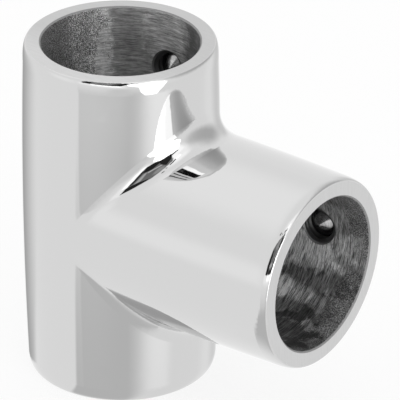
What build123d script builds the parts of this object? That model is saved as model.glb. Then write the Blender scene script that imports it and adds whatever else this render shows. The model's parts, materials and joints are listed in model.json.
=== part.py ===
from build123d import *
import os
from math import radians, tan

# Tube rail tee fitting: one cast and polished stainless tee that joins a branch tube to a rail at 90 degrees,
# with a cone-point set screw in each of its three sockets. Sizes are in millimetres. The rail runs along Z,
# the branch leaves along +X, and the origin is where the two bore axes cross.

# Sockets for the tubes
tube_radius = 12.7  # a tube of 1 inch outside
tube_clearance = 0.1  # radial gap between tube and bore
mouth_chamfer = 0.25  # broken edge where a tube enters

# Run: the sleeve that the rail passes through, a little fuller in the middle than at its ends
run_length = 58.0
run_end_wall = 3.0  # wall where the soft rim starts
run_swell = 0.45  # how much thicker the wall is half way up

# Branch: the sleeve for the branch tube, fullest near its root and drawn in towards its mouth
branch_reach = 40.5  # from the run's axis to the branch's mouth
branch_mouth_wall = 3.15
branch_root_inset = 0.1  # the branch starts this much slimmer than the middle of the run
branch_belly = 0.2  # how far it swells from there to its fullest place
branch_belly_at = 16.0  # distance of that place from the run's axis

# Polished rims, and the blend where branch and run meet
rim_round_radial = 0.63  # how much of the end face a soft rim takes
rim_round_axial = 2.2  # how far a soft rim reaches along the wall
rim_fullness = 0.55  # share of each of those two that the curve spends leaving straight
junction_blend = 4.0  # radius of the cast fillet round the branch's root

# Set screws, M6 with a cone point and a hexagon socket
screw_setback = 10.0  # from the end of each socket to the axis of its screw
screw_radius = 3.0
screw_core_radius = 2.39  # radius at the foot of the thread, where the cone starts
screw_length = 5.0
point_half_angle = 60.0  # between the side of the cone and the axis of the screw
point_flat_radius = 0.15  # tip that turning leaves
back_chamfer = 0.5
hex_across_flats = 3.0
hex_depth = 2.0
hex_drill_angle = 30.0  # slope of the drilled floor under the hexagon
screw_clearance = 0.05  # radial gap that stands for the play in the thread
hole_chamfer = 0.25  # broken edges of a tapped hole

bore_radius = tube_radius + tube_clearance
run_half = run_length / 2
run_end_radius = bore_radius + run_end_wall
run_mid_radius = run_end_radius + run_swell
branch_mouth_radius = bore_radius + branch_mouth_wall
branch_root_radius = run_mid_radius - branch_root_inset
branch_belly_radius = branch_root_radius + branch_belly
hole_radius = screw_radius + screw_clearance
point_height = (screw_core_radius - point_flat_radius) / tan(radians(point_half_angle))
screw_places = {  # x and z of each screw's axis, which runs along Y
    "top_set_screw": (0, run_half - screw_setback),
    "bottom_set_screw": (0, screw_setback - run_half),
    "branch_set_screw": (branch_reach - screw_setback, 0),
}

os.makedirs("parts", exist_ok=True)


def soft_rim(wall_end, along_wall, face_corner, outward):
    """The curve of a polished rim, from the end of a wall onto the flat end face."""
    wall_handle = wall_end + along_wall * (rim_round_axial * rim_fullness)
    face_handle = face_corner + outward * (rim_round_radial * rim_fullness)
    return Bezier(wall_end, wall_handle, face_handle, face_corner)


with BuildPart() as tee_body:
    # The run is half of its outline turned round the rail's axis
    with BuildSketch(Plane.XZ):
        with BuildLine():
            rim_level = run_half - rim_round_axial
            face_edge = run_end_radius - rim_round_radial
            barrel = ThreePointArc((run_end_radius, -rim_level), (run_mid_radius, 0), (run_end_radius, rim_level))
            top_rim = soft_rim(barrel @ 1, barrel % 1, Vector(face_edge, run_half), Vector(1, 0))
            bottom_rim = soft_rim(barrel @ 0, barrel % 0 * -1, Vector(face_edge, -run_half), Vector(1, 0))
            Polyline(top_rim @ 1, (0, run_half), (0, -run_half), bottom_rim @ 1)
        make_face()
    revolve(axis=Axis.Z)

    # The branch is turned the same way round its own axis, and starts inside the run
    with BuildSketch(Plane.XZ):
        with BuildLine():
            sleeve = ThreePointArc(
                (0, branch_root_radius),
                (branch_belly_at, branch_belly_radius),
                (branch_reach - rim_round_axial, branch_mouth_radius),
            )
            mouth_corner = Vector(branch_reach, branch_mouth_radius - rim_round_radial)
            mouth_rim = soft_rim(sleeve @ 1, sleeve % 1, mouth_corner, Vector(0, 1))
            Polyline(mouth_rim @ 1, (branch_reach, 0), (0, 0), sleeve @ 0)
        make_face()
    revolve(axis=Axis.X)

    # The cast blend goes round the seam where the two skins cross
    seam = tee_body.edges().filter_by(lambda edge: edge.bounding_box().size.Y > bore_radius)
    seam = seam.filter_by(lambda edge: edge.geom_type != GeomType.CIRCLE)
    fillet(seam, radius=junction_blend)

    # The rail's bore goes right through, and the branch's bore opens into it
    with BuildSketch(Plane.XY.offset(-run_half)):
        Circle(bore_radius)
    extrude(amount=run_length, mode=Mode.SUBTRACT)
    with BuildSketch(Plane.YZ):
        Circle(bore_radius)
    extrude(amount=branch_reach, mode=Mode.SUBTRACT)
    mouths = tee_body.edges().filter_by(GeomType.CIRCLE)
    mouths = mouths.filter_by(lambda edge: abs(edge.radius - bore_radius) < mouth_chamfer / 2)
    chamfer(mouths, length=mouth_chamfer)

    # One tapped hole for each socket, all on the side that faces +Y
    for x, z in screw_places.values():
        with BuildSketch(Plane(origin=(x, 0, z), z_dir=(0, 1, 0))):
            Circle(hole_radius)
        extrude(amount=2 * run_mid_radius, mode=Mode.SUBTRACT)
        chamfer(tee_body.edges(Select.LAST).filter_by(GeomType.LINE, reverse=True), length=hole_chamfer)
tee_body.part.label = "tee_body"
export_step(tee_body.part, "parts/tee_body.step")


def make_set_screw(x, z):
    """Cone-point set screw along Y with its tip level with the wall of its bore, so that a tube can pass."""
    tip = Vector(x, bore_radius, z)
    back = tip + Vector(0, screw_length, 0)
    with BuildPart() as screw:
        # Half of its outline: cone, start of the thread, shank and the broken edge at the back
        with BuildSketch(Plane(origin=tip, x_dir=(1, 0, 0), z_dir=(0, 0, 1))):
            with BuildLine():
                Polyline(
                    (0, 0),
                    (point_flat_radius, 0),
                    (screw_core_radius, point_height),
                    (screw_radius, point_height + screw_radius - screw_core_radius),
                    (screw_radius, screw_length - back_chamfer),
                    (screw_radius - back_chamfer, screw_length),
                    (0, screw_length),
                    close=True,
                )
            make_face()
        revolve(axis=Axis(tip, (0, 1, 0)))

        # Hexagon socket in the back, over the cone that its pilot drill leaves
        with BuildSketch(Plane(origin=back, z_dir=(0, 1, 0))):
            RegularPolygon(hex_across_flats / 2, side_count=6, major_radius=False)
        extrude(amount=-hex_depth, mode=Mode.SUBTRACT)
        with Locations(Plane(origin=back - Vector(0, hex_depth, 0), z_dir=(0, -1, 0))):
            Cone(
                bottom_radius=hex_across_flats / 2,
                top_radius=0,
                height=hex_across_flats / 2 * tan(radians(hex_drill_angle)),
                align=(Align.CENTER, Align.CENTER, Align.MIN),
                mode=Mode.SUBTRACT,
            )
    return screw


for name, (x, z) in screw_places.items():
    set_screw = make_set_screw(x, z)
    set_screw.part.label = name
    export_step(set_screw.part, f"parts/{name}.step")
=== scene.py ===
# %% [markdown]
# # A polished tube rail tee
#
# The object is a cast stainless steel tee that joins a branch tube to a rail. Its outside is polished to a
# mirror, its bores are left as the boring tool and the casting made them, and three set screws with cone
# points hold the tubes. The solids come from the frame at their real size. This script gives them their
# finishes, cuts real threads on the screws and in their holes, and builds the studio that the mirror shows.

# %% Load the frame
import json
from math import cos, pi, radians, sin, tan

import bpy
from mathutils import Matrix, Vector


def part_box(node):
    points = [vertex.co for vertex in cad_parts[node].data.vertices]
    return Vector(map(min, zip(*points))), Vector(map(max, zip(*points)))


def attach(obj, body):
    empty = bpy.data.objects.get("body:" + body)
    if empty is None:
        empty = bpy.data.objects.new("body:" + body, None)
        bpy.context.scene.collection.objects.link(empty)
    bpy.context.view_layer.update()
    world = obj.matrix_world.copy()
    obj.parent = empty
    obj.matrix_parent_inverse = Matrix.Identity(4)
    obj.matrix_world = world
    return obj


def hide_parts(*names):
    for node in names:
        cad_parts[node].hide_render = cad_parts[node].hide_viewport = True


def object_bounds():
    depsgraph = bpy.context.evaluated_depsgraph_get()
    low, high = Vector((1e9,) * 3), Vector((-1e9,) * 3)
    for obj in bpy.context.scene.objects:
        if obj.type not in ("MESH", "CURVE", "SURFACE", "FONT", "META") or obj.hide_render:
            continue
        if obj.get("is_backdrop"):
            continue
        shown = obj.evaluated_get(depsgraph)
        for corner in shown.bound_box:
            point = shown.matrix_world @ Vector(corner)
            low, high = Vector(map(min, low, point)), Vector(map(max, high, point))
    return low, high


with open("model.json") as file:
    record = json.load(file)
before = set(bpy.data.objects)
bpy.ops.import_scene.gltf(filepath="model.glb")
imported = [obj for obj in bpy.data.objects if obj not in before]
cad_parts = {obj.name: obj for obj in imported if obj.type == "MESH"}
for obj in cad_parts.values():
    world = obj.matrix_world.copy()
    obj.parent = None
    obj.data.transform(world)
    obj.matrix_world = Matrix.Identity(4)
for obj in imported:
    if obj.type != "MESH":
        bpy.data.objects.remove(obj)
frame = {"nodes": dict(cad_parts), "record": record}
cad_low, cad_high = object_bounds()

# %% [markdown]
# Lengths are worked out in metres, and read from the frame where it has them. The bores are its mounts, so
# their radius comes from the record. The ends of the sleeves and the places of the screws come from the
# boxes of their solids.

# %% Sizes of the tee
MM = 0.001  # one millimetre, in metres
mounts = {mount["name"]: mount for mount in frame["record"]["mounts"]}
bore_radius = mounts["run_bore"]["dims"]["r_mm"] * MM
body_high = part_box("tee_body")[1]
run_half = body_high.z
branch_reach = body_high.x
screw_boxes = {socket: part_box(f"{socket}_set_screw") for socket in ("top", "bottom", "branch")}
print("bore", bore_radius, "half of the run", run_half, "reach of the branch", branch_reach)

# %% [markdown]
# Colours are written as hex, the way that a colour picker shows them, and one function turns them linear.

# %% Colour
def linear(hex_colour):
    """sRGB hex to the linear values that shaders work in."""
    channels = [int(hex_colour[i : i + 2], 16) / 255 for i in (1, 3, 5)]
    return [c / 12.92 if c <= 0.04045 else ((c + 0.055) / 1.055) ** 2.4 for c in channels]


def colour(hex_colour):
    """The same with full cover, as a colour socket wants it."""
    return (*linear(hex_colour), 1.0)


def level(hex_grey):
    """A neutral grey as one linear number."""
    return linear(hex_grey)[0]


# %% [markdown]
# Every material and the studio are networks of nodes. One function adds a node, with its settings and with
# what goes into its inputs: a plain value, a socket, or another node, which gives its first output in use.
# Counted inputs go from the top of the node down. A Map Range takes its value, the two ends of the range that
# this comes from and the two that it goes to, and a Mix takes a share, what lies below and what covers it.

# %% Adding a node
def add(tree, kind, inputs=None, **settings):
    """A new node of a kind, with its settings. Inputs are named, or counted among those in use."""
    node = tree.nodes.new("ShaderNode" + kind)
    for name, value in settings.items():
        setattr(node, name, value)
    in_use = [socket for socket in node.inputs if socket.enabled]
    for key, value in (inputs or {}).items():
        target = in_use[key] if isinstance(key, int) else node.inputs[key]
        if isinstance(value, bpy.types.Node):
            value = next(socket for socket in value.outputs if socket.enabled)
        if isinstance(value, bpy.types.NodeSocket):
            tree.links.new(value, target)
        else:
            target.default_value = value
    return node


# %% [markdown]
# ## Camera
#
# The photograph looks at the tee from the front and from above, with a long lens from about half a metre,
# so the sleeves keep their width. Seen from the tee, the camera stands in one direction, and a roll of a
# third of a degree levels the picture. These values were fitted to the tee's outline and to the ellipses of
# its two open mouths.

# %% Camera
camera_azimuth = radians(-53.176)
camera_height = radians(28.148)
camera_distance = 555.974 * MM
camera_roll = radians(0.366)
camera_aim = Vector((16.056 * MM, 0, 5.322 * MM))
lens_mm = 311.794
sensor_mm = 36.0

towards_camera = Vector((
    cos(camera_height) * cos(camera_azimuth),
    cos(camera_height) * sin(camera_azimuth),
    sin(camera_height),
))
camera = bpy.data.objects.new("camera", bpy.data.cameras.new("camera"))
bpy.context.scene.collection.objects.link(camera)
camera.data.sensor_width = sensor_mm
camera.data.lens = lens_mm
camera.location = camera_aim + towards_camera * camera_distance
upright = towards_camera.to_track_quat("Z", "Y")
camera.rotation_mode = "QUATERNION"
camera.rotation_quaternion = upright @ Matrix.Rotation(camera_roll, 3, "Z").to_quaternion()
bpy.context.scene.camera = camera
bpy.context.scene.view_settings.view_transform = "Standard"
print("camera at", camera.location, "field of view", camera.data.angle)

# %% [markdown]
# ## Studio
#
# A mirror has no colour of its own: it shows the room. Such a fitting is photographed in a tent of white
# cloth, with one bright window of light at its right, and the gap in the cloth that the camera looks
# through shows as dark streaks in the blend. The tent is the world here, painted by direction: first broad
# soft cards for the walls and the table, then shapes with straight sides for the window, for the gap, and
# for the bar, the cords and the rod that hold the cloth.

# %% Tent cloth and steel
steel_grey = "#D1D1D1"
steel_mirror = level(steel_grey)
print("steel gives back", round(steel_mirror, 3), "of the light that meets it")


def seen_in_steel(hex_grey):
    """The brightness of cloth that shows as this grey in the polished steel."""
    return level(hex_grey) / steel_mirror


def pointing(azimuth, height):
    """The direction with this azimuth and height, in degrees."""
    azimuth, height = radians(azimuth), radians(height)
    return Vector((cos(height) * cos(azimuth), cos(height) * sin(azimuth), sin(height)))


# %% [markdown]
# A card is a plane that stands a metre from the tee. It is given by the direction that it faces the tee
# from, as azimuth and height in degrees, and by its edges in metres: the two places between which it fades
# in and out, across and upward. Later cards cover earlier ones.

# %% Cards of the tent
tent_cloth = "#D5D5D5"
FAR = 99.0  # a card's edge at this distance is never met
cards = [
    # the roof, lighter at the back, and the wall at the left
    ((180, 60), ((-0.9, -0.2), (0.2, 0.9)), ((-0.35, -0.05), (0.05, 0.35)), "#DFDFDF"),
    ((-122, 6), ((-0.45, -0.05), (0.1, 0.5)), ((-0.25, -0.05), (0.05, 0.3)), "#DEDEDE"),
    # the back wall, in its own shadow, and the strip where it meets the table
    ((30, 28), ((-0.6, -0.1), (0.1, 0.6)), ((-0.4, 0.0), (0.1, 0.6)), "#BEBEBE"),
    ((62, 25), ((-1.5, -0.1), (0.15, 0.95)), ((-0.6, -0.05), (0.15, 1.0)), "#A4A4A4"),
    ((98, 0), ((-0.5, -0.05), (0.1, 0.32)), ((-0.9, -0.5), (0.0, 0.5)), "#BBBBBB"),
    # the roof by the lamp
    ((-38, 62), ((-0.5, -0.1), (0.1, 0.5)), ((-0.35, -0.1), (0.1, 0.4)), "#F4F4F4"),
    # front and top of the grey table, and the light that falls across them
    ((-90, 0), ((-0.22, -0.17), (FAR, 2 * FAR)), ((-3 * FAR, -2 * FAR), (-0.65, 0.0)), "#BCBCBC"),
    ((-90, -90), ((-0.57, -0.46), (FAR, 2 * FAR)), ((-0.2, 0.6), (1.2, 2.3)), "#AFAFAF"),
    ((-15, 0), ((-0.62, 0.0), (2.2, 6)), ((-3 * FAR, -2 * FAR), (-0.15, 0.05)), "#D1D1D1"),
    ((-8, -24), ((-0.4, 0.0), (0.1, 0.35)), ((-0.35, -0.05), (0.02, 0.1)), "#E2E2E2"),
    ((-52, -12), ((-0.4, -0.05), (0.05, 0.35)), ((-0.3, -0.05), (0.05, 0.25)), "#C3C3C3"),
    # a fold of cloth at the far left
    ((160, 0), ((-0.24, -0.21), (-0.3, 0.75)), ((-0.68, -0.62), (-0.4, 0.2)), "#8E8E8E"),
]
print(len(cards), "cards")

# %% [markdown]
# A shape is given by its corners, each an azimuth and a height in degrees, by how many degrees its edges
# take to fade, and by its brightness, where 1 is a white that fills the film.

# %% Shapes in the tent
gap_front = [(-98, 20), (-92, 13), (-56, 11.5), (-49, 13), (-42, 26)]
gap_back = [(-40, 50), (-56, 61), (-78, 56), (-92, 52), (-98, 42)]
door = [(-46, 22), (-30, 31), (-29, 43), (-37, 46.5), (-44, 51.5), (-58, 60), (-66, 55), (-57, 40)]
window = [(-33, 2), (-44, 12), (-44, 25), (-32, 32.5), (-18, 36), (-8, 28), (2, 9), (0, 0), (-20, 0)]
window_foot = [(-30, -13), (-32, 6), (2, 9), (-1, -4), (-7, -17), (-11, -21.8), (-22, -21.8), (-28, -18)]
shapes = [
    # light that spills over the edge of the gap, and over the roof by the window
    ([(-100, 2), (-46, 0), (-46, 16), (-100, 15)], 8, seen_in_steel("#E6E6E6")),
    ([(-86, 6), (-52, 4), (-48, 16), (-86, 16)], 4, 1.7),
    ([(-34, 34), (-4, 26), (6, 52), (-16, 66), (-44, 62)], 14, seen_in_steel("#EBEBEB")),
    ([(-32, 32), (-8, 26), (-6, 46), (-24, 51)], 8, 1.5),
    ([(-26, 38), (-46, 48), (-54, 56), (-54, 62.5), (-44, 66), (-26, 58)], 6, 1.5),
    ([(-45, 60), (-45, 63), (-28, 63.5), (-28, 60)], 2, 2.3),
    # a black bar that holds the roof, and two cords beside it
    ([(-47, 59.8), (-47, 62.8), (-73, 63.2), (-73, 59.6)], 1, seen_in_steel("#141414")),
    ([(-81, 58.6), (-81, 60.8), (-86, 60.8), (-87, 58.6)], 1, seen_in_steel("#404040")),
    ([(-97, 56.8), (-97, 60.4), (-103, 60.4), (-104, 56.8)], 1.5, seen_in_steel("#505050")),
    # the gap that the camera looks through
    (gap_front + gap_back, 3, seen_in_steel("#666666")),
    # what stands in the room behind it: a shelf, dark corners, a door and its bright edge
    ([(-86, 20), (-68, 21), (-66, 25), (-85, 27)], 3, seen_in_steel("#A0A0A0")),
    ([(-88, 46), (-80, 40), (-66, 42), (-64, 50), (-76, 56)], 6, seen_in_steel("#8A8A8A")),
    ([(-97, 12), (-87, 12), (-86, 27), (-90, 40), (-97, 40)], 2, seen_in_steel("#202020")),
    ([(-86, 13.5), (-60, 12), (-60, 17), (-84, 18)], 1.5, seen_in_steel("#303030")),
    ([(-66, 18), (-52, 10), (-42, 22), (-50, 31), (-63, 29)], 2, seen_in_steel("#202020")),
    ([(-80, 30), (-68, 30), (-66, 38), (-78, 40)], 3, seen_in_steel("#646464")),
    (door, 1.5, seen_in_steel("#242424")),
    ([(-70, 28), (-66, 26), (-57, 40), (-60, 44)], 2, seen_in_steel("#AAAAAA")),
    # the window, dimmer near its upper right corner, and the foot of it
    (window, 3, 2.2),
    (window_foot, 2, 2.4),
    ([(-33, 2), (-44, 12), (-44, 25), (-32, 32), (-20, 16), (-14, 2)], 3, 2.6),
    # the black rod that the window hangs from
    ([(-17.5, 36.6), (-17.5, 39.8), (-27, 40.8), (-36, 40.4), (-36, 35.4)], 1, seen_in_steel("#141414")),
]
print(len(shapes), "shapes with", sum(len(corners) for corners, fade, strength in shapes), "sides")

# %% [markdown]
# The world's Generated coordinate is the direction that is looked in. Turned into a card's own axes and
# divided by the distance along its normal, it is the place where that direction meets the card's plane.
# Four smooth steps then give its edges.

# %% Hanging a card
def hang(tree, looking, below, facing, across, upward, strength):
    """Paints a card over what is below it, and gives the new brightness."""
    normal = pointing(*facing)
    right = pointing(facing[0] + 90, 0)
    up = normal.cross(right)
    away = add(tree, "VectorMath", {0: looking, 1: normal}, operation="DOT_PRODUCT")
    never_zero = 0.001
    ahead = add(tree, "Math", {0: away, 1: never_zero}, operation="MAXIMUM")
    shown = add(tree, "Math", {0: away, 1: 0.0}, operation="GREATER_THAN")
    for axis, (starts, fades) in ((right, across), (up, upward)):
        reach = add(tree, "VectorMath", {0: looking, 1: axis}, operation="DOT_PRODUCT")
        place = add(tree, "Math", {0: reach, 1: ahead}, operation="DIVIDE")
        for (low, high), (first, last) in ((starts, (0.0, 1.0)), (fades, (1.0, 0.0))):
            edge = add(
                tree,
                "MapRange",
                {"Value": place, "From Min": low, "From Max": high, "To Min": first, "To Max": last},
                interpolation_type="SMOOTHSTEP",
            )
            shown = add(tree, "Math", {0: shown, 1: edge}, operation="MULTIPLY")
    return add(tree, "Mix", {0: shown, 1: below, 2: strength})


# %% [markdown]
# Each side of a shape lies in a plane through the tee. The direction's height over that plane, turned so
# that the shape's middle is on the positive side, goes through one smooth step.

# %% Cutting out a shape
def cut_out(tree, looking, below, corners, fade, strength):
    """Paints a shape over what is below it, and gives the new brightness."""
    points = [pointing(*corner) for corner in corners]
    middle = sum(points, Vector()).normalized()
    reach = sin(radians(fade / 2))
    shown = 1.0
    for point, next_point in zip(points, points[1:] + points[:1]):
        inward = point.cross(next_point).normalized()
        inward *= 1 if inward.dot(middle) > 0 else -1
        height = add(tree, "VectorMath", {0: looking, 1: inward}, operation="DOT_PRODUCT")
        step = {"Value": height, "From Min": -reach, "From Max": reach}
        edge = add(tree, "MapRange", step, interpolation_type="SMOOTHSTEP")
        shown = add(tree, "Math", {0: shown, 1: edge}, operation="MULTIPLY")
    return add(tree, "Mix", {0: shown, 1: below, 2: strength})


# %% [markdown]
# The camera itself sees plain white behind the tee, as in the photograph, and every other ray sees the tent.
# The rays that leave the mirror are among those: if they met plain white, nothing would show in it.

# %% World
world = bpy.data.worlds.new("light_tent")
bpy.context.scene.world = world
world.use_nodes = True
tent = world.node_tree
tent.nodes.clear()
direction = add(tent, "TexCoord").outputs["Generated"]
looking = add(tent, "VectorMath", {0: direction}, operation="NORMALIZE")
brightness = seen_in_steel(tent_cloth)
for facing, across, upward, grey in cards:
    brightness = hang(tent, looking, brightness, facing, across, upward, seen_in_steel(grey))
for corners, fade, strength in shapes:
    brightness = cut_out(tent, looking, brightness, corners, fade, strength)
cloth = add(tent, "Background", {"Color": brightness, "Strength": 1.0})
paper = add(tent, "Background", {"Color": colour("#FFFFFF"), "Strength": 1.0})
to_camera = add(tent, "LightPath").outputs["Is Camera Ray"]
either = add(tent, "MixShader", {0: to_camera, 1: cloth, 2: paper})
add(tent, "OutputWorld", {"Surface": either})
print("tent has", len(tent.nodes), "nodes")

# %% [markdown]
# ## Floor
#
# The tee stands on white paper. The camera sees it as nearly white with the tee's soft shadow, because most
# of what it sees is the paper's own white. The mirror doesn't show this paper: the lower half of the tent
# stands for the table in it. Only the round of paper inside the run's foot is there for every ray, because
# it closes the bore.

# %% Floor
paper_width = 3.0
own_share = 0.85
bpy.ops.object.select_all(action="DESELECT")
bpy.ops.mesh.primitive_plane_add(size=paper_width, location=(0, 0, cad_low.z))
floor = bpy.context.object
floor.name = "floor"
white_paper = bpy.data.materials.new("white_paper")
white_paper.use_nodes = True
tree = white_paper.node_tree
tree.nodes.clear()
sheet = add(tree, "BsdfDiffuse", {"Color": colour("#FAFAFA")})
own_white = add(tree, "Emission", {"Color": colour("#FFFFFF"), "Strength": 1.0})
light_path = add(tree, "LightPath")
share = add(tree, "Math", {0: light_path.outputs["Is Camera Ray"], 1: own_share}, operation="MULTIPLY")
seen = add(tree, "MixShader", {0: share, 1: sheet, 2: own_white})
from_middle = add(tree, "VectorMath", {0: add(tree, "TexCoord").outputs["Object"]}, operation="LENGTH")
outside = add(tree, "Math", {0: from_middle, 1: bore_radius}, operation="GREATER_THAN")
unseen = add(tree, "Math", {0: light_path.outputs["Is Glossy Ray"], 1: outside}, operation="MULTIPLY")
left_out = add(tree, "BsdfTransparent")
add(tree, "OutputMaterial", {"Surface": add(tree, "MixShader", {0: unseen, 1: seen, 2: left_out})})
floor.data.materials.append(white_paper)
floor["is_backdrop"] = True
print("floor at", cad_low.z)

# %% [markdown]
# ## Finishes of the tee
#
# The casting has five finishes: a mirror outside, ground end faces, bored walls, the broken edges between
# those two, and tapped holes. One material picks among them by place, so that it fits the one piece that the
# casting is. Every pattern reads the place on the tee in millimetres, as on a drawing.

# %% Material of the casting
casting = bpy.data.materials.new("cast_and_polished_stainless_steel")
casting.use_nodes = True
steel = casting.node_tree
steel.nodes.clear()
place = add(steel, "VectorMath", {0: add(steel, "TexCoord").outputs["Object"], 1: 1 / MM}, operation="SCALE")
place_x, place_y, place_z = add(steel, "SeparateXYZ", {0: place}).outputs
bore_mm = bore_radius / MM
run_half_mm = run_half / MM
branch_reach_mm = branch_reach / MM
edge_mm = 0.25
hair_mm = 0.01
print("broken edges are", edge_mm, "mm wide, and a finish stops", hair_mm, "mm inside its border")

# %% [markdown]
# Where is which finish? A point is in a bore when it is no further from the bore's axis than the wall and
# the broken edge at its mouth. The branch's bore counts only in front of the run's axis, because behind it
# the same distance is met outside.

# %% Where the bores are
across_run = add(steel, "CombineXYZ", {0: place_x, 1: place_y})
across_branch = add(steel, "CombineXYZ", {0: place_y, 1: place_z})
from_run = add(steel, "VectorMath", {0: across_run}, operation="LENGTH")
from_branch = add(steel, "VectorMath", {0: across_branch}, operation="LENGTH")
wall_reach = bore_mm + edge_mm - hair_mm
in_run = add(steel, "Math", {0: from_run, 1: wall_reach}, operation="LESS_THAN")
near_branch = add(steel, "Math", {0: from_branch, 1: wall_reach}, operation="LESS_THAN")
in_front = add(steel, "Math", {0: place_x, 1: 0.0}, operation="GREATER_THAN")
in_branch = add(steel, "Math", {0: near_branch, 1: in_front}, operation="MULTIPLY")
in_branch = add(steel, "Math", {0: in_branch, 1: in_run}, operation="SUBTRACT", use_clamp=True)
bored = add(steel, "Math", {0: in_run, 1: in_branch}, operation="MAXIMUM")
print("bored within", wall_reach, "mm of an axis")

# %% Where the ground ends are
flat_mm = 0.004  # what lies further from the end than this isn't on the ground face
end_height = add(steel, "Math", {0: place_z}, operation="ABSOLUTE")
on_run_end = add(steel, "Math", {0: end_height, 1: run_half_mm - flat_mm}, operation="GREATER_THAN")
on_mouth = add(steel, "Math", {0: place_x, 1: branch_reach_mm - flat_mm}, operation="GREATER_THAN")
flat_end = add(steel, "Math", {0: on_run_end, 1: on_mouth}, operation="MAXIMUM")
print("ground ends at", run_half_mm, "mm up and down and", branch_reach_mm, "mm out")

# %% [markdown]
# A bored wall has its own coordinates: two across the bore, which go round it, and one along it. Written
# that way, one pattern serves both bores.

# %% Places on a bored wall
wall_of_run = add(steel, "CombineXYZ", {0: place_x, 1: place_y, 2: place_z})
wall_of_branch = add(steel, "CombineXYZ", {0: place_y, 1: place_z, 2: place_x})
wall = add(steel, "Mix", {0: in_branch, 1: wall_of_run, 2: wall_of_branch}, data_type="VECTOR")
depth_in_run = add(steel, "Math", {0: run_half_mm, 1: end_height}, operation="SUBTRACT")
depth_in_branch = add(steel, "Math", {0: branch_reach_mm, 1: place_x}, operation="SUBTRACT")
depth = add(steel, "Mix", {0: in_branch, 1: depth_in_run, 2: depth_in_branch})
at_mouth = add(steel, "Math", {0: depth, 1: edge_mm - hair_mm}, operation="LESS_THAN")
broken_edge = add(steel, "Math", {0: at_mouth, 1: bored}, operation="MULTIPLY")
on_end = add(steel, "Math", {0: flat_end, 1: broken_edge}, operation="MAXIMUM")
print("places are found with", len(steel.nodes), "nodes so far")

# %% Where the tapped holes are
hole_mm = 3.05
hole_reach = hole_mm + edge_mm - 2 * hair_mm
run_hole_at = sum(corner.z for corner in screw_boxes["top"]) / 2 / MM
branch_hole_at = sum(corner.x for corner in screw_boxes["branch"]) / 2 / MM
beside_run_hole = add(steel, "Math", {0: end_height, 1: run_hole_at}, operation="SUBTRACT")
beside_branch_hole = add(steel, "Math", {0: place_x, 1: branch_hole_at}, operation="SUBTRACT")
off_run_hole = add(steel, "CombineXYZ", {0: place_x, 1: beside_run_hole})
off_branch_hole = add(steel, "CombineXYZ", {0: beside_branch_hole, 1: place_z})
to_run_hole = add(steel, "VectorMath", {0: off_run_hole}, operation="LENGTH")
to_branch_hole = add(steel, "VectorMath", {0: off_branch_hole}, operation="LENGTH")
to_hole = add(steel, "Math", {0: to_run_hole, 1: to_branch_hole}, operation="MINIMUM")
within_hole = add(steel, "Math", {0: to_hole, 1: hole_reach}, operation="LESS_THAN")
on_far_side = add(steel, "Math", {0: place_y, 1: 0.0}, operation="GREATER_THAN")
tapped = add(steel, "Math", {0: within_hole, 1: on_far_side}, operation="MULTIPLY")
print("holes", run_hole_at, "mm up and down the run and", branch_hole_at, "mm along the branch")

# %% [markdown]
# No mark on a bored wall is even. Noise that is drawn out round the bore or along it gives the marks. A patch
# is a place on the wall, given by its angle round the bore and its depth from the mouth, and one more noise
# makes its border ragged.

# %% Marks and patches of a bored wall
def drawn_noise(round_mm, along_mm, **settings):
    """Noise whose marks are about so many millimetres long round the bore and along it."""
    scale = (1 / round_mm, 1 / round_mm, 1 / along_mm)
    drawn = add(steel, "VectorMath", {0: wall, 1: scale}, operation="MULTIPLY")
    return add(steel, "TexNoise", {"Vector": drawn, "Scale": 1.0, **settings}, noise_dimensions="3D")


ragged = drawn_noise(2.2, 2.2, Detail=4.0, Roughness=0.65)
wandering = add(steel, "MapRange", {0: ragged, 1: 0.25, 2: 0.75, 3: -0.5, 4: 0.5})


def patch(bore, degrees, reach_round, deep, reach_along):
    """A ragged patch of a bore's wall, round a place given by its angle and its depth from the mouth.

    It reaches so many degrees round the bore and so many millimetres along it.
    """
    towards = (cos(radians(degrees)) / bore_mm, sin(radians(degrees)) / bore_mm, 0)
    facing = add(steel, "VectorMath", {0: wall, 1: towards}, operation="DOT_PRODUCT")
    turned_by = add(steel, "Math", {0: facing}, operation="ARCCOSINE")
    share_round = add(steel, "Math", {0: turned_by, 1: radians(reach_round)}, operation="DIVIDE")
    beyond = add(steel, "Math", {0: depth, 1: deep}, operation="SUBTRACT")
    share_along = add(steel, "Math", {0: beyond, 1: reach_along}, operation="DIVIDE")
    both_ways = add(steel, "CombineXYZ", {0: share_round, 1: share_along})
    off = add(steel, "VectorMath", {0: both_ways}, operation="LENGTH")
    off = add(steel, "Math", {0: off, 1: wandering}, operation="ADD")
    edge = add(steel, "MapRange", {0: off, 1: 0.75, 2: 1.2, 3: 1.0, 4: 0.0}, interpolation_type="SMOOTHSTEP")
    return add(steel, "Math", {0: edge, 1: bore}, operation="MULTIPLY")


# %% [markdown]
# The boring tool went round with its feed, and left scratches that run round the bore, in patches where it
# chattered. Real feed marks are finer than a pixel, so these are drawn as coarse as they show.

# %% Scratches of the boring tool
fine_scratches = drawn_noise(1.7, 0.12, Detail=3.0, Roughness=0.7)
long_scratches = drawn_noise(6.0, 0.5, Detail=2.0, Roughness=0.5)
long_share = 0.25
scratches = add(steel, "Mix", {0: long_share, 1: fine_scratches, 2: long_scratches})
chatter = drawn_noise(3.0, 4.0, Detail=4.0, Roughness=0.6)
print("scratches bring it to", len(steel.nodes), "nodes")

# %% [markdown]
# Near the branch's mouth and on the left of the run the tool hardly touched the casting, whose skin kept the
# grain of its mould. Below the branch's screw it cut again. The border between the two is ragged.

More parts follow.
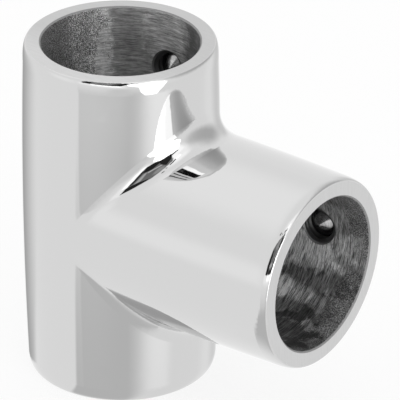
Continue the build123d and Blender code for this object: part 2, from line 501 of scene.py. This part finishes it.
# %% Grain of the casting
grain = drawn_noise(0.18, 0.18, Detail=2.0, Roughness=0.7)
near_mouth = add(steel, "MapRange", {0: depth, 1: 2.5, 2: 6.0, 3: 1.0, 4: 0.0})
mouth_grain = add(steel, "Math", {0: near_mouth, 1: in_branch}, operation="MULTIPLY")
side_grain = patch(in_run, 188, 46, 6, 60)
by_the_screw = add(steel, "Math", {0: patch(in_branch, -12, 16, 3, 4), 1: -0.5}, operation="MULTIPLY")
mouth_grain = add(steel, "Math", {0: mouth_grain, 1: by_the_screw}, operation="ADD")
either_grain = add(steel, "Math", {0: mouth_grain, 1: side_grain}, operation="MAXIMUM")
ragged_grain = add(steel, "Math", {0: either_grain, 1: ragged}, operation="ADD")
grainy = add(steel, "MapRange", {0: ragged_grain, 1: 0.88, 2: 1.12})
print("grain brings it to", len(steel.nodes), "nodes")

# %% [markdown]
# Light and dark patches are painted side by side in each bore: painted highlights where the scratched wall
# reflects the light, and painted shade where it does not. Each has a bore, its angle and how far it reaches
# round the bore, in degrees, its depth and how far it reaches along the bore, in millimetres, and what it
# adds to the brightness.

# %% Painted light and shade of the bores
painted_bore_light = [
    (in_branch, -21, 14, 13, 8, 1.1),
    (in_branch, -8, 12, 3, 4, 0.35),
    (in_branch, -39, 9, 8, 9, -0.5),
    (in_branch, -52, 9, 16, 5, 1.2),
    (in_branch, -53, 8, 11, 4, 0.3),
    (in_branch, -62, 14, 5, 3, -0.35),
    (in_branch, -68, 9, 12, 9, -0.5),
    (in_branch, -95, 24, 9, 7, -0.7),
    (in_branch, -103, 20, 1, 4, -0.45),
    (in_branch, 32, 7, 6, 3, -0.25),
    (in_branch, -19, 10, 1, 2.5, -0.3),
    (in_branch, -32, 5, 11, 5, -0.2),
    (in_branch, 8, 14, 1, 4, -0.2),
    (in_run, 143, 9, 8, 12, 0.9),
    (in_run, 158, 10, 5, 9, 0.4),
    (in_run, 125, 45, 13, 5, 0.3),
    (in_run, 90, 20, 3, 6, 0.6),
    (in_run, 58, 17, 3, 9, -0.4),
    (in_run, 200, 26, 3, 14, -0.25),
    (in_run, 62, 22, 1, 4, -0.15),
]
# the darkest that the painted shade leaves a wall
darkest_painted_shade = 0.15
painted_light_and_shade = 1.0
for bore, degrees, reach_round, deep, reach_along, change in painted_bore_light:
    here = patch(bore, degrees, reach_round, deep, reach_along)
    here = add(steel, "Math", {0: here, 1: change}, operation="MULTIPLY")
    painted_light_and_shade = add(steel, "Math", {0: painted_light_and_shade, 1: here}, operation="ADD")
painted_light_and_shade = add(steel, "Math", {0: painted_light_and_shade, 1: darkest_painted_shade}, operation="MAXIMUM")
print(len(painted_bore_light), "painted_light_and_shade")

# %% [markdown]
# Marks that catch the light are pale and the metal between them is dark: the run's scratches are the lighter
# ones, the branch's are deeper and have more contrast. Bright specks at the border of the run's grain are
# painted glints, added to the colour. Heights are in millimetres.

# %% Bored finish
brightest = 0.95
run_tones = {0: scratches, 1: 0.36, 2: 0.74, 3: level("#5C5C5C"), 4: level("#D4D4D4")}
branch_tones = {0: scratches, 1: 0.42, 2: 0.7, 3: level("#4C4C4C"), 4: level("#F4F4F4")}
grain_tones = {0: grain, 1: 0.45, 2: 0.76, 3: level("#4C4C4C"), 4: level("#E0E0E0")}
run_scratches = add(steel, "MapRange", run_tones)
branch_scratches = add(steel, "MapRange", branch_tones)
scratched_metal = add(steel, "Mix", {0: in_branch, 1: run_scratches, 2: branch_scratches})
uneven = add(steel, "MapRange", {0: chatter, 1: 0.25, 2: 0.75, 3: 0.7, 4: 1.3})
scratched_metal = add(steel, "Math", {0: scratched_metal, 1: uneven}, operation="MULTIPLY")
grained_metal = add(steel, "MapRange", grain_tones)
bored_metal = add(steel, "Mix", {0: grainy, 1: scratched_metal, 2: grained_metal})
# the painted highlights and painted shade of the patches scale the wall's colour
bored_metal = add(steel, "Math", {0: bored_metal, 1: painted_light_and_shade}, operation="MULTIPLY")
# painted glints: bright specks added to the colour of the run's wall at the border of its grain
painted_glints = add(steel, "MapRange", {0: grain, 1: 0.6, 2: 0.7, 3: 0.0, 4: 1.1})
painted_glints = add(steel, "Math", {0: painted_glints, 1: patch(in_run, 150, 17, 5, 9)}, operation="MULTIPLY")
bored_metal = add(steel, "Math", {0: bored_metal, 1: painted_glints}, operation="ADD")
bored_metal = add(steel, "Math", {0: bored_metal, 1: brightest}, operation="MINIMUM")
bored_rough = add(steel, "Mix", {0: grainy, 1: 0.5, 2: 0.55})
scratch_height = add(steel, "Math", {0: scratches, 1: 0.03}, operation="MULTIPLY")
grain_height = add(steel, "Math", {0: grain, 1: 0.04}, operation="MULTIPLY")
bored_height = add(steel, "Mix", {0: grainy, 1: scratch_height, 2: grain_height})
print("bored walls bring it to", len(steel.nodes), "nodes")

# %% [markdown]
# The ends were ground flat on a belt, which leaves a satin face with faint straight lines; the run's ends are
# made a little darker towards the back. The outside was polished until only a slight waviness is left, some
# microns over several millimetres.

# %% Ground ends and polished skin
lines_per_mm = (0.4, 5.0, 0.4)
waves_per_mm = 0.12
wave_height = 0.02
belt = add(steel, "VectorMath", {0: place, 1: lines_per_mm}, operation="MULTIPLY")
belt_lines = add(steel, "TexNoise", {"Vector": belt, "Scale": 1.0, "Detail": 3.0}, noise_dimensions="3D")
ground = add(steel, "MapRange", {0: belt_lines, 1: 0.3, 2: 0.7, 3: level("#CACACA"), 4: level("#D0D0D0")})
# the run's ground ends get a colour that is a little darker towards the back
darker_towards_back = add(steel, "MapRange", {0: place_y, 1: -11.0, 2: -4.0, 3: 1.0, 4: 0.88})
at_back = add(steel, "Mix", {0: on_run_end, 1: 1.0, 2: darker_towards_back})
end_metal = add(steel, "Math", {0: ground, 1: at_back}, operation="MULTIPLY")
waves = add(steel, "TexNoise", {"Vector": place, "Scale": waves_per_mm, "Detail": 1.0}, noise_dimensions="3D")
skin_height = add(steel, "Math", {0: waves, 1: wave_height}, operation="MULTIPLY")
print("ends and skin bring it to", len(steel.nodes), "nodes")

# %% [markdown]
# The finishes are laid over each other, from the polished skin to the tapped holes, each with its brightness
# and its roughness. A bored wall is so dull and stained that it shows its own grey rather than the room, and
# a low Metallic gives that.

# %% One material for the casting
polished_rough = 0.03
bored_bareness = 0.2
metal, rough = level(steel_grey), polished_rough
for where, its_metal, its_rough in (
    (bored, bored_metal, bored_rough),
    (on_end, end_metal, 0.3),
    # broken edges: partly the chamfer's own satin grey, partly painted shade that darkens the rims of the
    # mouths
    (broken_edge, level("#909090"), 0.5),
    (tapped, level("#7A7A7A"), 0.35),
):
    metal = add(steel, "Mix", {0: where, 1: metal, 2: its_metal})
    rough = add(steel, "Mix", {0: where, 1: rough, 2: its_rough})
height = add(steel, "Mix", {0: bored, 1: skin_height, 2: bored_height})
bare = add(steel, "Mix", {0: bored, 1: 1.0, 2: bored_bareness})
relief = add(steel, "Bump", {"Strength": 1.0, "Distance": MM, "Height": height})
surface = {"Base Color": metal, "Metallic": bare, "Roughness": rough, "Normal": relief}
add(steel, "OutputMaterial", {"Surface": add(steel, "BsdfPrincipled", surface)})
tee = frame["nodes"]["tee_body"]
tee.data.materials.clear()
tee.data.materials.append(casting)
print("casting has", len(steel.nodes), "nodes")

# %% [markdown]
# ## Set screws
#
# Each socket has an M6 set screw, turned from bar: a cone point, a rolled thread and a hexagon socket in its
# back. A thread could be a wavy bump, but its turns show in the holes, so it is cut here as a die cuts it: a
# coil with the section of the groove is taken out of a turned blank. An outline is drawn first, one corner
# after another, as it would be with the extrude key. The screw lies along Y, with its tip at the origin.

# %% Drawing an outline
def draw_outline(name, corners):
    """A line from corner to corner in the XY plane, extruded from one vertex."""
    bpy.ops.object.select_all(action="DESELECT")
    bpy.ops.mesh.primitive_plane_add(size=MM, location=(0, 0, 0))
    outline = bpy.context.object
    outline.name = name
    bpy.ops.object.mode_set(mode="EDIT")
    bpy.ops.mesh.select_all(action="SELECT")
    bpy.ops.mesh.merge(type="CENTER")
    bpy.ops.transform.translate(value=(*corners[0], 0))
    for (x, y), (next_x, next_y) in zip(corners, corners[1:]):
        bpy.ops.mesh.extrude_region_move(TRANSFORM_OT_translate={"value": (next_x - x, next_y - y, 0)})
    bpy.ops.object.mode_set(mode="OBJECT")
    return outline


# %% Turning an outline
WELD = 0.0001 * MM  # points nearer than this are one


def turn_round(outline, steps):
    """Spins an outline that starts and ends on the Y axis, as a lathe would leave it."""
    bpy.ops.object.mode_set(mode="EDIT")
    bpy.ops.mesh.select_all(action="SELECT")
    bpy.ops.mesh.spin(steps=steps, angle=2 * pi, center=(0, 0, 0), axis=(0, 1, 0))
    bpy.ops.mesh.select_all(action="SELECT")
    bpy.ops.mesh.remove_doubles(threshold=WELD)
    bpy.ops.mesh.normals_make_consistent(inside=False)
    bpy.ops.object.mode_set(mode="OBJECT")


# %% Winding an outline
def wind(outline, pitch, turns, steps):
    """Closes an outline and winds it round Y as a right-hand coil with flat ends."""
    bpy.ops.object.mode_set(mode="EDIT")
    bpy.ops.mesh.select_all(action="SELECT")
    bpy.ops.mesh.edge_face_add()
    bpy.ops.object.mode_set(mode="OBJECT")
    coil = outline.modifiers.new("turns", "SCREW")
    coil.axis = "Y"
    coil.screw_offset = pitch
    coil.iterations = turns
    coil.steps = steps
    coil.render_steps = steps
    coil.use_merge_vertices = True
    bpy.ops.object.modifier_apply(modifier=coil.name)
    bpy.ops.object.mode_set(mode="EDIT")
    bpy.ops.mesh.select_all(action="SELECT")
    bpy.ops.mesh.fill_holes(sides=4)
    bpy.ops.mesh.normals_make_consistent(inside=False)
    bpy.ops.object.mode_set(mode="OBJECT")


# %% Cutting with another solid
def combine(piece, other, operation):
    """Cuts a piece with another solid, or keeps only what both hold, and removes the other one."""
    cut = piece.modifiers.new(operation.lower(), "BOOLEAN")
    cut.operation = operation
    cut.solver = "EXACT"
    cut.object = other
    bpy.context.view_layer.objects.active = piece
    bpy.ops.object.modifier_apply(modifier=cut.name)
    bpy.data.objects.remove(other)


# %% [markdown]
# An M6 thread has a pitch of 1 mm and flanks that lean 30 degrees. A flat of an eighth of the pitch is left
# at its crest, and its groove goes down to the core. The length and the outside come from the screw's own
# box.

# %% Thread sizes
screw_low, screw_high = screw_boxes["top"]
screw_length = screw_high.y - screw_low.y
crest_radius = (screw_high.x - screw_low.x) / 2
pitch = 1.0 * MM
crest_width = pitch / 8
core_radius = 2.42 * MM
flank = tan(radians(30))
groove_foot = (pitch - crest_width) / 2 - (crest_radius - core_radius) * flank
thread_steps = 48


def groove_half(radius):
    """Half the width of the thread's groove at a radius."""
    return groove_foot + (radius - core_radius) * flank


print("groove", 2 * groove_half(core_radius) / MM, "mm wide at its foot")

# %% [markdown]
# The blank's outline runs from the tip along the cone, over the chamfer that starts the thread, along the
# shank and over the back's chamfer. It is spun round the screw's axis, as it is turned on the lathe.

# %% Blank
tip_flat = 0.15 * MM
cone_foot = 2.39 * MM
point_half_angle = radians(60)
cone_height = (cone_foot - tip_flat) / tan(point_half_angle)
back_chamfer = 0.5 * MM
blank_corners = [
    (0, 0),
    (tip_flat, 0),
    (cone_foot, cone_height),
    (crest_radius, cone_height + crest_radius - cone_foot),
    (crest_radius, screw_length - back_chamfer),
    (crest_radius - back_chamfer, screw_length),
    (0, screw_length),
]
lathe_steps = 64
screw = draw_outline("set_screw_pattern", blank_corners)
turn_round(screw, lathe_steps)
print("blank", len(screw.data.polygons), "faces")

# %% Thread of the screw
past_crest = 0.08 * MM
groove_turns = 8
groove_top = crest_radius + past_crest
groove = draw_outline(
    "groove_coil",
    [
        (core_radius, groove_half(core_radius)),
        (groove_top, groove_half(groove_top)),
        (groove_top, -groove_half(groove_top)),
        (core_radius, -groove_half(core_radius)),
    ],
)
groove.data.transform(Matrix.Translation((0, -pitch, 0)))
wind(groove, pitch, groove_turns, thread_steps)
combine(screw, groove, "DIFFERENCE")
print("threaded", len(screw.data.polygons), "faces")

# %% [markdown]
# The socket is broached: a hexagon is pushed into a drilled hole, and its mouth is countersunk so that the
# key finds it. The drill leaves a cone below the hexagon. Each tool is a cone primitive that is turned to lie
# along Y, which puts its second radius towards the screw's tip.

# %% Hexagon socket
hex_flats = 3.0 * MM
hex_depth = 2.0 * MM
hex_corner = hex_flats / 2 / cos(radians(30))
drill_slope = tan(radians(30))
facing_back = (radians(90), 0, 0)
hex_floor = screw_length - hex_depth
drill_tip = hex_floor - hex_flats / 2 * drill_slope
for name, sides, tip_radius, back_radius, start, end in (
    ("hexagon", 6, hex_corner, hex_corner, hex_floor, screw_length + pitch),
    ("drill_cone", 48, 0, hex_flats / 2, drill_tip, hex_floor),
    ("countersink", 48, 1.4 * MM, 2.0 * MM, screw_length - 0.35 * MM, screw_length + 0.25 * MM),
):
    bpy.ops.object.select_all(action="DESELECT")
    bpy.ops.mesh.primitive_cone_add(
        vertices=sides,
        radius1=back_radius,
        radius2=tip_radius,
        depth=end - start,
        location=(0, (start + end) / 2, 0),
        rotation=facing_back,
    )
    tool = bpy.context.object
    tool.name = name
    combine(screw, tool, "DIFFERENCE")
print("socketed", len(screw.data.polygons), "faces")

# %% [markdown]
# One pattern screw is made, and each socket gets a copy with its own mesh. Its finish needs the distance
# from the screw's own axis, so the place on the screw, in millimetres, is kept on the mesh before it moves.

# %% Placing the screws
bpy.ops.object.select_all(action="DESELECT")
screw.select_set(True)
bpy.context.view_layer.objects.active = screw
bpy.ops.object.mode_set(mode="EDIT")
bpy.ops.mesh.select_all(action="SELECT")
bpy.ops.mesh.remove_doubles(threshold=WELD)
bpy.ops.object.mode_set(mode="OBJECT")
smooth_below = radians(28)
bpy.ops.object.shade_smooth_by_angle(angle=smooth_below)
place_on_screw = screw.data.attributes.new("place_on_screw", "FLOAT_VECTOR", "POINT")
for kept, vertex in zip(place_on_screw.data, screw.data.vertices):
    kept.vector = vertex.co / MM
screws = {}
for socket, (low, high) in screw_boxes.items():
    tip = Vector(((low.x + high.x) / 2, low.y, (low.z + high.z) / 2))
    copy = bpy.data.objects.new(f"{socket}_threaded_screw", screw.data.copy())
    bpy.context.scene.collection.objects.link(copy)
    copy.data.transform(Matrix.Translation(tip))
    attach(copy, f"{socket}_screw")
    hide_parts(f"{socket}_set_screw")
    screws[socket] = (copy, tip)
bpy.data.objects.remove(screw)
print("screws", {socket: tuple(tip) for socket, (copy, tip) in screws.items()})

# %% [markdown]
# The screws are turned from stainless bar. The lathe's feed leaves rings on the cone and round the thread,
# which are a hundredth of a millimetre deep and are drawn a quarter of a millimetre apart, as coarse as they
# show. Oil and handling leave the metal darker than the polished tee.

# %% Turned stainless steel
turned = bpy.data.materials.new("turned_stainless_steel")
turned.use_nodes = True
lathe = turned.node_tree
lathe.nodes.clear()
kept_place = add(lathe, "Attribute", attribute_name="place_on_screw", attribute_type="GEOMETRY")
on_screw = kept_place.outputs["Vector"]
screw_x, screw_y, screw_z = add(lathe, "SeparateXYZ", {0: on_screw}).outputs
off_axis = add(lathe, "CombineXYZ", {0: screw_x, 2: screw_z})
from_axis = add(lathe, "VectorMath", {0: off_axis}, operation="LENGTH")
along_feed = add(lathe, "Math", {0: from_axis, 1: screw_y}, operation="ADD")
feed = add(lathe, "TexNoise", {"W": along_feed, "Scale": 4.0, "Detail": 2.0}, noise_dimensions="1D")
stains = add(lathe, "TexNoise", {"Vector": on_screw, "Scale": 0.8, "Detail": 2.0}, noise_dimensions="3D")
dark_or_light = add(lathe, "Mix", {0: 0.5, 1: feed, 2: stains})
tone = add(lathe, "MapRange", {0: dark_or_light, 1: 0.35, 2: 0.65, 3: level("#9C9C9C"), 4: level("#D6D6D6")})
ring_height = add(lathe, "Math", {0: feed, 1: 0.01}, operation="MULTIPLY")
rings = add(lathe, "Bump", {"Strength": 1.0, "Distance": MM, "Height": ring_height})
surface = {"Base Color": tone, "Metallic": 1.0, "Roughness": 0.22, "Normal": rings}
add(lathe, "OutputMaterial", {"Surface": add(lathe, "BsdfPrincipled", surface)})
for copy, tip in screws.values():
    copy.data.materials.append(turned)
print("turned steel has", len(lathe.nodes), "nodes")

# %% [markdown]
# ## Tapped holes
#
# A tap leaves a coil of metal standing in each hole, which fills the screw's grooves but for a little play.
# The casting's holes are plain, so each gets such a coil. It is cut off at both ends by round bars along the
# sleeve, one as wide as its bore and one just under its skin. A cut that only grazes a turn can leave a crumb
# that hangs on nothing, so crumbs are cleared away.

# %% A bar along a sleeve
bar_length = 12 * MM
bar_sides = 192


def add_bar(name, radius, centre, along):
    """A round bar on the axis of a sleeve, long enough to reach past the hole."""
    lying = (0, radians(90), 0) if along == "X" else (0, 0, 0)
    bpy.ops.object.select_all(action="DESELECT")
    bpy.ops.mesh.primitive_cylinder_add(
        vertices=bar_sides, radius=radius, depth=bar_length, location=centre, rotation=lying
    )
    bar = bpy.context.object
    bar.name = name
    return bar


# %% Clearing crumbs
def clear_crumbs(piece):
    """Merges the slivers that cutting leaves, and removes a crumb that hangs on nothing else."""
    sliver = 0.001 * MM
    piece_name = piece.name
    bpy.ops.object.select_all(action="DESELECT")
    piece.select_set(True)
    bpy.context.view_layer.objects.active = piece
    bpy.ops.object.mode_set(mode="EDIT")
    bpy.ops.mesh.select_all(action="SELECT")
    bpy.ops.mesh.dissolve_degenerate(threshold=sliver)
    bpy.ops.mesh.remove_doubles(threshold=sliver)
    bpy.ops.mesh.separate(type="LOOSE")
    bpy.ops.object.mode_set(mode="OBJECT")
    largest = max(bpy.context.selected_objects, key=lambda part: len(part.data.polygons))
    for part in bpy.context.selected_objects:
        if part != largest:
            bpy.data.objects.remove(part)
    largest.name = piece_name
    largest.select_set(True)
    bpy.context.view_layer.objects.active = largest
    return largest


# %% Threads of the holes
thread_play = 0.04 * MM
into_wall = 0.01 * MM
ridge_top = 2.5 * MM
ridge_root = hole_mm * MM + into_wall
ridge_turns = 5
thinnest_wall = 3.0 * MM
under_skin = 0.1 * MM
skin_radius = bore_radius + thinnest_wall - under_skin
for socket, (copy, tip) in screws.items():
    along = "X" if socket == "branch" else "Z"
    centre = (tip.x, 0, tip.z)
    ridge = draw_outline(
        f"{socket}_hole_thread",
        [
            (ridge_top, groove_half(ridge_top) - thread_play),
            (ridge_root, groove_half(ridge_root) - thread_play),
            (ridge_root, thread_play - groove_half(ridge_root)),
            (ridge_top, thread_play - groove_half(ridge_top)),
        ],
    )
    ridge.data.transform(Matrix.Translation((0, -pitch, 0)))
    wind(ridge, pitch, ridge_turns, thread_steps)
    ridge.data.transform(Matrix.Translation(tip))
    combine(ridge, add_bar("bore_bar", bore_radius + edge_mm * MM, centre, along), "DIFFERENCE")
    combine(ridge, add_bar("skin_bar", skin_radius, centre, along), "INTERSECT")
    ridge = clear_crumbs(ridge)
    bpy.ops.object.shade_smooth_by_angle(angle=smooth_below)
    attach(ridge, "tee")
    ridge.data.materials.append(casting)
    print(ridge.name, len(ridge.data.polygons), "faces")

# %% [markdown]
# The box of what shows now is printed; threads and finishes should leave the tee the size that it was.

# %% Print the visual box
low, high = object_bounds()
print("visual box", low, high)
